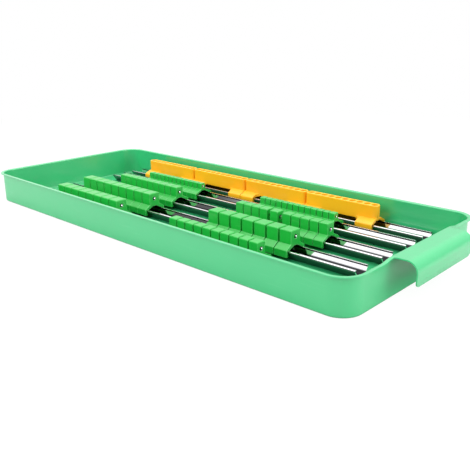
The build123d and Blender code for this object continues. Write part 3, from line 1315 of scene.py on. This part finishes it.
@dataclass
class ClipMaker:
    """Makes the mesh of one clip of a drive, its base starting at X = 0 over Y = 0."""

    drive: DriveSizes
    saddle: Saddle = Saddle()
    corner_steps: int = 3
    end_shares: tuple[float, ...] = (0.0, 0.29, 1.0)
    side_shares: tuple[float, ...] = (0.0, 0.1, 0.4, 1.0)
    bore_sides: int = 28
    bore_fit: float = 0.00009
    bore_start: float = 0.0005
    mouth_grip: float = 0.0001
    mouth_sink: float = 0.00035
    mouth_slope: Flat = (0.5, 0.7)
    lip_fit: float = 0.00005
    lip_back: float = 0.0001
    spring_length: float = 0.0024
    ball_sides: int = 28
    ball_rings: int = 16

    @property
    def top(self) -> float:
        """Height of the post's top."""
        return self.saddle.crest + self.drive.height

    @property
    def ball_level(self) -> float:
        """Height of the ball's centre."""
        return self.top - self.drive.drop

    @property
    def ball_depth(self) -> float:
        """How far the ball's centre lies behind the post's right face."""
        return self.drive.ball - self.drive.proud

    def _outline(self) -> list[Flat]:
        """Whole section across the rail as (across, height), anticlockwise from the right."""
        half = self.saddle.corners(self.drive.post / 2, self.top, self.drive.top_round)
        other = [((-across, up), radius) for (across, up), radius in reversed(half)]
        return rounded_path(half + other, self.corner_steps, closed=True)

    def _inset(self, radius: float, away: float) -> float:
        """How far a rounded end edge has drawn in.

        Args:
            radius: radius of the edge.
            away: distance from the end face.

        Returns:
            The inset, which is the radius at the end face and 0 beyond the radius.
        """
        if away >= radius:
            return 0.0
        return radius - math.sqrt(radius**2 - (radius - away) ** 2)

    def _stations(self) -> list[tuple[float, bool]]:
        """Places along the rail where the section is drawn, each with whether the post is there."""
        drive = self.drive
        edge = self.saddle.edge
        side, top = drive.side_round, drive.top_round
        near = [share * edge for share in self.end_shares]
        post = [share * side for share in self.side_shares] + [0.5 * (side + top), top]
        places = [(place, False) for place in near if place < drive.margin]
        places.append((drive.margin, False))
        places += [(drive.margin + place, True) for place in post]
        places += [(drive.base - place, True) for place in reversed(post) if place > edge]
        places += [(drive.base - place, True) for place in reversed(near)]
        return places

    def mesh(self) -> bpy.types.Mesh:
        """The plain clip, as a closed mesh."""
        drive = self.drive
        outline = self._outline()
        normals = path_normals(outline, closed=True)
        shape = Shape()
        rows: list[list[int]] = []
        for along, has_post in self._stations():
            points: list[Point] = []
            for (across, up), normal in zip(outline, normals):
                on_post = up > self.saddle.crest + SAME_LEVEL
                if on_post and not has_post:
                    points.append((along, across, self.saddle.crest))
                    continue
                lift = max(normal.normalized().y, 0.0)
                radius = self.saddle.edge
                if on_post:
                    radius = drive.side_round + (drive.top_round - drive.side_round) * lift
                left = along - drive.margin if on_post else along
                inset = self._inset(radius, left) + self._inset(radius, drive.base - along)
                points.append((along, across - normal.x * inset, up - normal.y * inset))
            rows.append(shape.row(points))
        shape.skin(rows)
        shape.cap(rows[0])
        shape.cap(rows[-1])
        return shape.mesh("clip")

    def bored_mesh(self) -> bpy.types.Mesh:
        """The clip with the blind bore that holds its ball and spring."""
        drive = self.drive
        mouth = drive.ball - self.mouth_grip
        lip = self.ball_depth - math.sqrt(drive.ball**2 - mouth**2)
        depth = self.ball_depth + drive.ball + self.lip_fit + self.spring_length
        wide, slope_start, slope_end = mouth + self.mouth_sink, *self.mouth_slope
        bore_radius = drive.ball + self.bore_fit
        profile = [
            (wide, self.bore_start),
            (wide, 0.0),
            ((mouth + wide) / 2, -slope_start * lip),
            (mouth, -slope_end * lip),
            (mouth, -lip),
            (bore_radius, -lip - self.lip_back),
            (bore_radius, -depth),
        ]
        place = Matrix.Translation((drive.base, 0.0, self.ball_level))
        bore = Shape()
        bore.lathe(profile, place @ Matrix.Rotation(math.pi / 2, 4, "Y"), self.bore_sides)
        return cut(self.mesh(), bore.mesh("bore"), "bored_clip")

    def ball_mesh(self, pressed: float = 0.0) -> bpy.types.Mesh:
        """The ball in the post's right face, pressed in by a distance."""
        depth = self.ball_depth + pressed
        place = Matrix.Translation((self.drive.base - depth, 0.0, self.ball_level))
        tool = bmesh.new()
        bmesh.ops.create_uvsphere(
            tool,
            u_segments=self.ball_sides,
            v_segments=self.ball_rings,
            radius=self.drive.ball,
            matrix=place,
        )
        return finished(tool, "ball")


@dataclass
class SocketClips:
    """Every clip of the tray, in runs of one drive, with balls and springs."""

    runs: dict[str, tuple[Drive, int]]
    single: str = "middle_single"
    spring_turns: float = 4.5
    spring_wire: float = 0.00018
    spring_wire_sides: int = 2
    spring_clear: float = 0.00045
    spring_steps: int = 80
    ball_room: float = 0.00008

    def __post_init__(self) -> None:
        """Make each drive's meshes once."""
        self.makers = {drive: ClipMaker(drive.value) for drive in Drive}
        self.plain = {drive: maker.mesh() for drive, maker in self.makers.items()}
        self.bored = {drive: maker.bored_mesh() for drive, maker in self.makers.items()}

    def _start(self, node: str) -> Vector:
        """Where a clip node's first base starts, over its rail's centre line."""
        return Vector((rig.box(node)[0].x, row_of(node), 0.0))

    def _run(self, name: str, drive: Drive, count: int, finishes: Finishes) -> None:
        """Build one run of clips with their balls.

        Args:
            name: name of the run's node and body.
            drive: its socket drive.
            count: how many clips the node holds.
            finishes: the materials.
        """
        low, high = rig.box(name)
        base = drive.value.base
        step = (high.x - low.x - base) / (count - 1)
        places = [self._start(name) + Vector((number * step, 0.0, 0.0)) for number in range(count)]
        fit(
            f"{name}_moulded",
            joined(((self.plain[drive], place) for place in places), name),
            finishes.clip,
            "clip_plastic",
            name,
            [name],
        )
        room = step - base + drive.value.margin
        pressed = max(drive.value.proud - room + self.ball_room, 0.0)
        ball = self.makers[drive].ball_mesh(pressed)
        balls = joined(((ball, place) for place in places), f"{name}_balls")
        fit(f"{name}_balls", balls, finishes.ball, "ball_steel", name)

    def _sprung(self, name: str, drive: Drive, finishes: Finishes) -> None:
        """Build one clip that moves by itself, with its ball and spring.

        Args:
            name: name of its body, which its nodes' names start with.
            drive: its socket drive.
            finishes: the materials.
        """
        start = self._start(f"{name}_clip")
        clip = joined([(self.bored[drive], start)], name)
        fit(f"{name}_moulded", clip, finishes.clip, "clip_plastic", name, [f"{name}_clip"])
        ball = joined([(self.makers[drive].ball_mesh(), start)], f"{name}_ball")
        fit(
            f"{name}_round_ball",
            ball,
            finishes.ball,
            "ball_steel",
            f"{name}_ball",
            [f"{name}_ball"],
        )
        self._spring(name, drive, finishes)

    def _spring(self, name: str, drive: Drive, finishes: Finishes) -> None:
        """Build the coil spring behind a ball.

        Args:
            name: name of the clip's body.
            drive: its socket drive.
            finishes: the materials.
        """
        low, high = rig.box(f"{name}_spring")
        middle = (low + high) / 2
        radius = drive.value.ball - self.spring_clear
        start, end = low.x + self.spring_wire, high.x - self.spring_wire
        turns = spread(0.0, 2 * math.pi * self.spring_turns, self.spring_steps)
        points = [
            (x, middle.y + radius * math.cos(turn), middle.z + radius * math.sin(turn))
            for x, turn in zip(spread(start, end, self.spring_steps), turns)
        ]
        curve = bpy.data.curves.new(f"{name}_coil", "CURVE")
        curve.dimensions = "3D"
        line = curve.splines.new("POLY")
        line.points.add(len(points) - 1)
        for place, point in zip(line.points, points):
            place.co = (*point, 1.0)
        curve.bevel_depth = self.spring_wire
        curve.bevel_resolution = self.spring_wire_sides
        curve.use_fill_caps = True
        wire = bpy.data.objects.new(f"{name}_coil", curve)
        bpy.context.scene.collection.objects.link(wire)
        mesh = settled(wire, f"{name}_coil")
        mesh.shade_smooth()
        fit(
            f"{name}_coil",
            mesh,
            finishes.spring,
            "spring_steel",
            name,
            [f"{name}_spring"],
            stretch=(f"{name}_ball", low, Vector((high.x, low.y, low.z))),
        )

    def build(self, finishes: Finishes) -> None:
        """Make every clip and dress it."""
        for name, (drive, count) in self.runs.items():
            self._run(f"{name}_clips", drive, count, finishes)
            if f"{name}_end" in frame["bodies"]:
                self._sprung(f"{name}_end", drive, finishes)
        self._sprung(self.single, Drive.THREE_EIGHTHS, finishes)


@dataclass(frozen=True)
class HolePatch:
    """The part of a bar's top that goes round one hole, seen from above.

    centre is the hole's X from the middle of the bar, sides the X of the patch's two sides, core
    the half length and half width inside the top's rounded corners, and corner their radius.
    """

    centre: float
    sides: Flat
    core: Vector
    corner: float
    corner_steps: int = 6

    def edge(self, turn: float) -> Vector:
        """Where a ray from the hole's centre, at an angle, leaves the patch."""
        core = self.core
        start = Vector((self.centre, 0.0))
        ray = Vector((math.cos(turn), math.sin(turn)))
        reach = (core.y + self.corner) / max(abs(ray.y), LEVEL_RAY)
        if abs(ray.x) > LEVEL_RAY:
            reach = min(reach, (self.sides[ray.x > 0] - self.centre) / ray.x)
        place = start + ray * reach
        if abs(place.x) > core.x and abs(place.y) > core.y:
            away = start - Vector((math.copysign(core.x, place.x), math.copysign(core.y, place.y)))
            along = ray.dot(away)
            inside = along**2 - away.length_squared + self.corner**2
            place = start + ray * (math.sqrt(max(inside, 0.0)) - along)
        return place

    def turns(self, count: int) -> list[float]:
        """Angles of a number of rays round the hole, and of one to each corner, in order."""
        marks: list[Flat] = []
        for side in self.sides:
            for across in (-1, 1):
                if abs(side) < self.core.x:
                    marks.append((side, across * (self.core.y + self.corner)))
                    continue
                middle = (math.copysign(self.core.x, side), across * self.core.y)
                outward = math.degrees(math.atan2(across, math.copysign(1, side)))
                marks += arc(middle, self.corner, outward - 45, outward + 45, self.corner_steps)
        turns = [2 * math.pi * (step + 0.5) / count for step in range(count)]
        turns += [math.atan2(y, x - self.centre) % (2 * math.pi) for x, y in marks]
        turns.sort()
        return [turn for turn, before in zip(turns, [-1.0, *turns]) if turn - before > SAME_TURN]


@dataclass
class BitHolders:
    """Moulded bars with ten round holes, each on two feet over the rear rail."""

    count: int = 4
    holes: int = 10
    pitch: float = 0.00825
    hole_radius: float = 0.00335
    hole_depth: float = 0.012
    mouth: float = 0.0003
    thickness: float = 0.010
    under: float = 0.0119
    top: float = 0.0268
    end_radius: float = 0.004
    top_round: float = 0.0007
    end_gap: float = 0.00004
    foot_length: float = 0.018
    cove: float = 0.004
    foot_bottom: float = 0.006
    foot_columns: tuple[float, ...] = (0.0058, 0.0066, 0.0074)
    foot_last_column: float = 0.009
    shoulder_round: float = 0.0009
    inner_round: float = 0.0004
    ledge_rounds: tuple[tuple[Flat, Flat], ...] = (
        ((-0.0001, -0.0002), (-0.0002, -0.0001)),
        ((-0.0002, -0.0006), (0.0, -0.0006)),
    )
    hem_rounds: tuple[tuple[Flat, Flat], ...] = (
        ((0.0002, 0.0004), (0.0, 0.0006)),
        ((0.0004, 0.0), (-0.0005, 0.0)),
    )
    hole_sides: int = 32
    mouth_share: float = 0.3
    top_steps: int = 4
    edge: float = 0.00022

    @property
    def corner(self) -> float:
        """Radius at the corners of the bar's top, inside its rounded edge."""
        return self.end_radius - self.top_round

    def _hole(self, shape: Shape, patch: HolePatch) -> list[int]:
        """One hole with its patch of the bar's top, round the middle of the bar.

        Args:
            shape: where the points and faces go.
            patch: the patch.

        Returns:
            Numbers of the patch's outer points, anticlockwise.
        """
        turns = patch.turns(self.hole_sides)
        edge = [patch.edge(turn) for turn in turns]
        rings = [shape.row((place.x, place.y, self.top) for place in edge)]
        partway = self.mouth_share * self.mouth
        for radius, level in (
            (self.hole_radius + self.mouth, self.top),
            (self.hole_radius + partway, self.top - partway),
            (self.hole_radius, self.top - self.mouth),
            (self.hole_radius, self.top - self.hole_depth + self.mouth),
            (self.hole_radius - self.mouth, self.top - self.hole_depth),
        ):
            circle = [(math.cos(turn) * radius, math.sin(turn) * radius) for turn in turns]
            rings.append(shape.row((patch.centre + x, y, level) for x, y in circle))
        shape.skin(rings)
        shape.cap(rings[-1])
        return rings[0]

    def _bar(self, length: float) -> bpy.types.Mesh:
        """The drilled bar of one holder, as a closed mesh round the middle of the bar."""
        shape = Shape()
        half = Vector((length / 2 - self.end_gap, self.thickness / 2))
        core = half - Vector((self.end_radius, self.end_radius))
        end = core.x + self.corner
        seams = [(number - self.holes / 2) * self.pitch for number in range(1, self.holes)]
        rim: list[int] = []
        for number, sides in enumerate(zip([-end, *seams], [*seams, end])):
            centre = (number - (self.holes - 1) / 2) * self.pitch
            rim += self._hole(shape, HolePatch(centre, sides, core, self.corner))

        def outward(number: int) -> Vector:
            """How far a point of the top lies outside the core of the top."""
            x, y, _ = shape.points[number]
            inside = Vector((min(max(x, -core.x), core.x), min(max(y, -core.y), core.y)))
            return Vector((x, y)) - inside

        rim = [number for number in rim if outward(number).length > self.corner - SAME_PLACE]
        rim.sort(key=lambda number: math.atan2(shape.points[number][1], shape.points[number][0]))
        rim = [
            number
            for number, before in zip(rim, [rim[-1], *rim])
            if (Vector(shape.points[number]) - Vector(shape.points[before])).length > SAME_PLACE
        ]
        rings = [rim]
        levels = arc((0.0, self.top - self.top_round), self.top_round, 90, 0, self.top_steps)[1:]
        levels.append((self.top_round, self.under + self.edge))
        levels.append((self.top_round - self.edge, self.under))
        for out, level in levels:
            places = []
            for number in rim:
                x, y, _ = shape.points[number]
                away = outward(number).normalized() * out
                places.append((x + away.x, y + away.y, level))
            rings.append(shape.row(places))
        shape.skin(rings)
        shape.cap(rings[-1])
        return shape.mesh("holder_bar")

    def _foot_pairs(self) -> list[tuple[Flat, Flat]]:
        """Under and outer points of a foot's half section as (across, height), centre first."""
        saddle = Saddle()
        half = self.thickness / 2

        def under(across: float) -> float:
            """Height of the arch over the rail."""
            run = (saddle.arch_foot - across) / (saddle.arch_foot - saddle.arch_half)
            return saddle.under + saddle.arch_rise * min(max(run, 0.0), 1.0)

        def outer(across: float) -> float:
            """Height of the foot's sloping top."""
            run = max(across - half, 0.0) / (saddle.outer - half)
            return saddle.crest - (saddle.crest - saddle.shoulder) * run

        places = [0.0, saddle.arch_half, half, *self.foot_columns]
        places += [saddle.arch_foot, self.foot_last_column]
        pairs = [((place, under(place)), (place, outer(place))) for place in places]
        shoulder = saddle.outer - self.shoulder_round
        inside = saddle.inner - self.inner_round
        pairs.append(((inside, saddle.under), (shoulder, outer(shoulder))))
        ledge = ((saddle.inner, saddle.under), (saddle.outer, saddle.shoulder))
        hem = ((saddle.barb, self.foot_bottom), (saddle.outer, self.foot_bottom))
        for ends, rounds in ((ledge, self.ledge_rounds), (hem, self.hem_rounds)):
            for shifts in rounds:
                inner, far = ((x + dx, z + dz) for (x, z), (dx, dz) in zip(ends, shifts))
                pairs.append((inner, far))
        return pairs

    def _reach(self, across: float) -> float:
        """How long a foot is at a distance from the centre line, with the cove beside the bar."""
        cove_end = self.thickness / 2 + self.cove
        if across >= cove_end:
            return self.foot_length
        near = max(across, self.thickness / 2)
        drop = math.sqrt(max(self.cove**2 - (cove_end - near) ** 2, 0.0))
        return self.foot_length + self.cove - drop

    def _foot(self, outside: float, inward: float, row: float) -> bpy.types.Mesh:
        """One foot of a holder.

        Args:
            outside: X of the holder's end.
            inward: 1 or -1, the direction from there to the holder's middle.
            row: Y of the centre line.

        Returns:
            The closed mesh.
        """
        half = self._foot_pairs()
        pairs = [((-a[0], a[1]), (-b[0], b[1])) for a, b in reversed(half)] + half[1:]
        shape = Shape()
        ends: list[list[list[int]]] = []
        for share in (0.0, 1.0):
            reaches = [self._reach(abs(pair[1][0])) * share * inward for pair in pairs]
            ends.append(
                [
                    shape.row(
                        (outside + along, row + pair[line][0], pair[line][1])
                        for along, pair in zip(reaches, pairs)
                    )
                    for line in (0, 1)
                ]
            )
        shape.sheet(*ends)
        piece = made("holder_foot", shape.mesh("holder_foot"))
        round_edges(piece, self.edge)
        return settled(piece, "holder_foot")

    def build(self, finishes: Finishes) -> None:
        """Make every holder and dress it."""
        for number in range(1, self.count + 1):
            name = f"bit_holder_{number}"
            low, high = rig.box(name)
            row = row_of(name)
            still = Vector((0.0, 0.0, 0.0))
            parts = [
                (self._bar(high.x - low.x), Vector(((low.x + high.x) / 2, row, 0.0))),
                (self._foot(low.x, 1.0, row), still),
                (self._foot(high.x, -1.0, row), still),
            ]
            mesh = joined(parts, name)
            fit(f"{name}_moulded", mesh, finishes.holder, "holder_plastic", name, [name])


@dataclass(frozen=True)
class Lamp:
    """A soft square lamp that faces the tray's middle."""

    name: str
    place: Point
    size: float
    watts: float
    mirrored: bool = True

    def hang(self) -> None:
        """Put the lamp into the scene."""
        data = bpy.data.lights.new(self.name, "AREA")
        data.size = self.size
        data.energy = self.watts
        lamp = bpy.data.objects.new(self.name, data)
        lamp.visible_glossy = self.mirrored
        facing = (-Vector(self.place)).to_track_quat("-Z", "Y")
        lamp.matrix_world = Matrix.Translation(self.place) @ facing.to_matrix().to_4x4()
        bpy.context.scene.collection.objects.link(lamp)


@dataclass
class Studio:
    """Pale floor, soft lamps and the camera at the photograph's place."""

    camera_place: Point = (0.438753, -0.410662, 0.184544)
    camera_yaw: float = -0.76156
    camera_pitch: float = 0.28390
    camera_roll: float = -0.01261
    focal_pixels: float = 609.186
    centre_row: float = 211.0
    sight: Flat = (0.01, 50.0)
    floor_half: float = 6.0
    floor_level: float = -0.0002
    floor_white: float = 0.58
    floor_shade: float = 0.09
    floor_lift: float = 0.94
    floor_roughness: float = 0.9
    fade: Flat = (0.9, 0.5)
    sky: float = 1.4
    horizon: float = 0.32
    sky_rise: float = 0.7
    card_across: Flat = (-0.56, -0.68)
    card_depth: Flat = (0.0, -0.15)
    card: float = 0.9
    glow_across: Flat = (-0.55, -0.8)
    glow_depth: Flat = (0.1, 0.4)
    glow: float = 0.5
    white: Colour = (1.0, 1.0, 1.0, 1.0)
    lamps: tuple[Lamp, ...] = (
        Lamp("overhead", (-0.2, 0.1, 1.6), 1.6, 10.5),
        Lamp("front", (-0.62, -1.45, 0.9), 1.2, 19.0, mirrored=False),
        Lamp("side", (1.55, 0.5, 0.45), 1.0, 15.5),
    )

    def _camera(self) -> None:
        """Make the camera."""
        data = bpy.data.cameras.new("camera")
        data.sensor_width = SENSOR_WIDTH
        data.lens = self.focal_pixels * SENSOR_WIDTH / PHOTO_SIDE
        data.shift_y = (self.centre_row - PHOTO_SIDE / 2) / PHOTO_SIDE
        data.clip_start, data.clip_end = self.sight
        yaw, pitch, roll = self.camera_yaw, self.camera_pitch, self.camera_roll
        ahead = Vector(
            (math.sin(yaw) * math.cos(pitch), math.cos(yaw) * math.cos(pitch), -math.sin(pitch))
        )
        level = ahead.cross(Vector((0.0, 0.0, 1.0))).normalized()
        upright = level.cross(ahead)
        right = math.cos(roll) * level + math.sin(roll) * upright
        up = math.cos(roll) * upright - math.sin(roll) * level
        camera = bpy.data.objects.new("camera", data)
        camera.matrix_world = Matrix.Translation(self.camera_place) @ Matrix(
            (right, up, -ahead)
        ).transposed().to_4x4()
        bpy.context.scene.collection.objects.link(camera)
        bpy.context.scene.camera = camera

    def _floor(self) -> None:
        """Make the pale floor, which keeps the object's shadow."""
        reach, level = self.floor_half, self.floor_level
        shape = Shape()
        corners = [(-reach, -reach), (reach, -reach), (reach, reach), (-reach, reach)]
        shape.cap(shape.row((x, y, level) for x, y in corners))
        floor = made("floor", shape.mesh("floor", outward=False))
        material, graph, shader = plain_material("Pale floor")
        constants = {
            "Roughness": self.floor_roughness,
            "Specular IOR Level": 0.0,
            "Emission Color": self.white,
        }
        graph.feed(shader, constants)
        seen = graph.add("ShaderNodeLightPath").outputs["Is Camera Ray"]
        away = graph.add("ShaderNodeVectorMath", {0: graph.place()}, operation="LENGTH")
        near = graph.ramp(away.outputs["Value"], *self.fade)
        shade = graph.sum("MULTIPLY", near, self.floor_shade)
        drop = graph.sum("SUBTRACT", shade, self.floor_white)
        colour = graph.sum("MULTIPLY_ADD", seen, drop, self.floor_white)
        glow = graph.sum("MULTIPLY_ADD", near, self.floor_lift - 1.0, 1.0)
        graph.feed(
            shader, {"Base Color": colour, "Emission Strength": graph.sum("MULTIPLY", seen, glow)}
        )
        below = graph.add("ShaderNodeNewGeometry").outputs["Backfacing"]
        clear = graph.add("ShaderNodeBsdfTransparent").outputs[0]
        surface = graph.add("ShaderNodeMixShader", {0: below, 1: shader.outputs[0], 2: clear})
        graph.feed(graph.tree.nodes["Material Output"], {"Surface": surface.outputs[0]})
        floor.data.materials.append(material)
        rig.stage(floor)

    def _world(self) -> None:
        """Make the white surroundings."""
        world = bpy.data.worlds.new("studio")
        bpy.context.scene.world = world
        world.use_nodes = True
        graph = Graph(world.node_tree)
        seen = graph.add("ShaderNodeLightPath").outputs["Is Camera Ray"]
        way = graph.add("ShaderNodeTexCoord").outputs["Generated"]
        split = graph.parts(way)

        def patch(across: Flat, depth: Flat) -> bpy.types.NodeSocket:
            """A mask over the part of the sky that lies across and behind these limits."""
            sideways = graph.ramp(split["X"], *across)
            return graph.sum("MULTIPLY", sideways, graph.ramp(split["Y"], *depth))

        rise = graph.ramp(split["Z"], 0.0, self.sky_rise)
        sky = graph.sum("MULTIPLY_ADD", rise, self.sky - self.horizon, self.horizon)
        shade = graph.sum(
            "MULTIPLY_ADD", patch(self.card_across, self.card_depth), -self.card, 1.0
        )
        dimmed = graph.sum("MULTIPLY", sky, shade)
        glow = patch(self.glow_across, self.glow_depth)
        lit = graph.sum("MULTIPLY_ADD", glow, self.glow, dimmed)
        strength = graph.sum("MULTIPLY_ADD", seen, graph.sum("SUBTRACT", 1.0, lit), lit)
        background = world.node_tree.nodes["Background"]
        graph.feed(background, {"Color": self.white, "Strength": strength})

    def build(self) -> None:
        """Make the whole studio."""
        self._camera()
        self._floor()
        self._world()
        for lamp in self.lamps:
            lamp.hang()
        bpy.context.scene.view_settings.view_transform = "Standard"


def main() -> None:
    """Build the object and its studio."""
    logging.basicConfig(level=logging.INFO, format="%(message)s")
    cad_box = [list(corner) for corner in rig.bounds()]
    Studio().build()
    finishes = Finishes(Effects())
    rails = Rails()
    TrayShell().build(finishes, rails.rows())
    rails.build(finishes)
    SocketClips(
        {
            "front_left": (Drive.HALF_INCH, 7),
            "front_right": (Drive.THREE_EIGHTHS, 9),
            "second_left": (Drive.HALF_INCH, 8),
            "second_right": (Drive.HALF_INCH, 6),
            "middle_left": (Drive.THREE_EIGHTHS, 9),
            "middle_inner": (Drive.THREE_EIGHTHS, 4),
            "middle_right": (Drive.THREE_EIGHTHS, 4),
            "fourth_left": (Drive.QUARTER_INCH, 12),
            "fourth_right": (Drive.QUARTER_INCH, 12),
        }
    ).build(finishes)
    BitHolders().build(finishes)
    with open(SIZE_FILE, "w") as sizes:
        json.dump({"cad": cad_box, "visual": [list(corner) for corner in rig.bounds()]}, sizes)


if __name__ == "__main__":
    main()
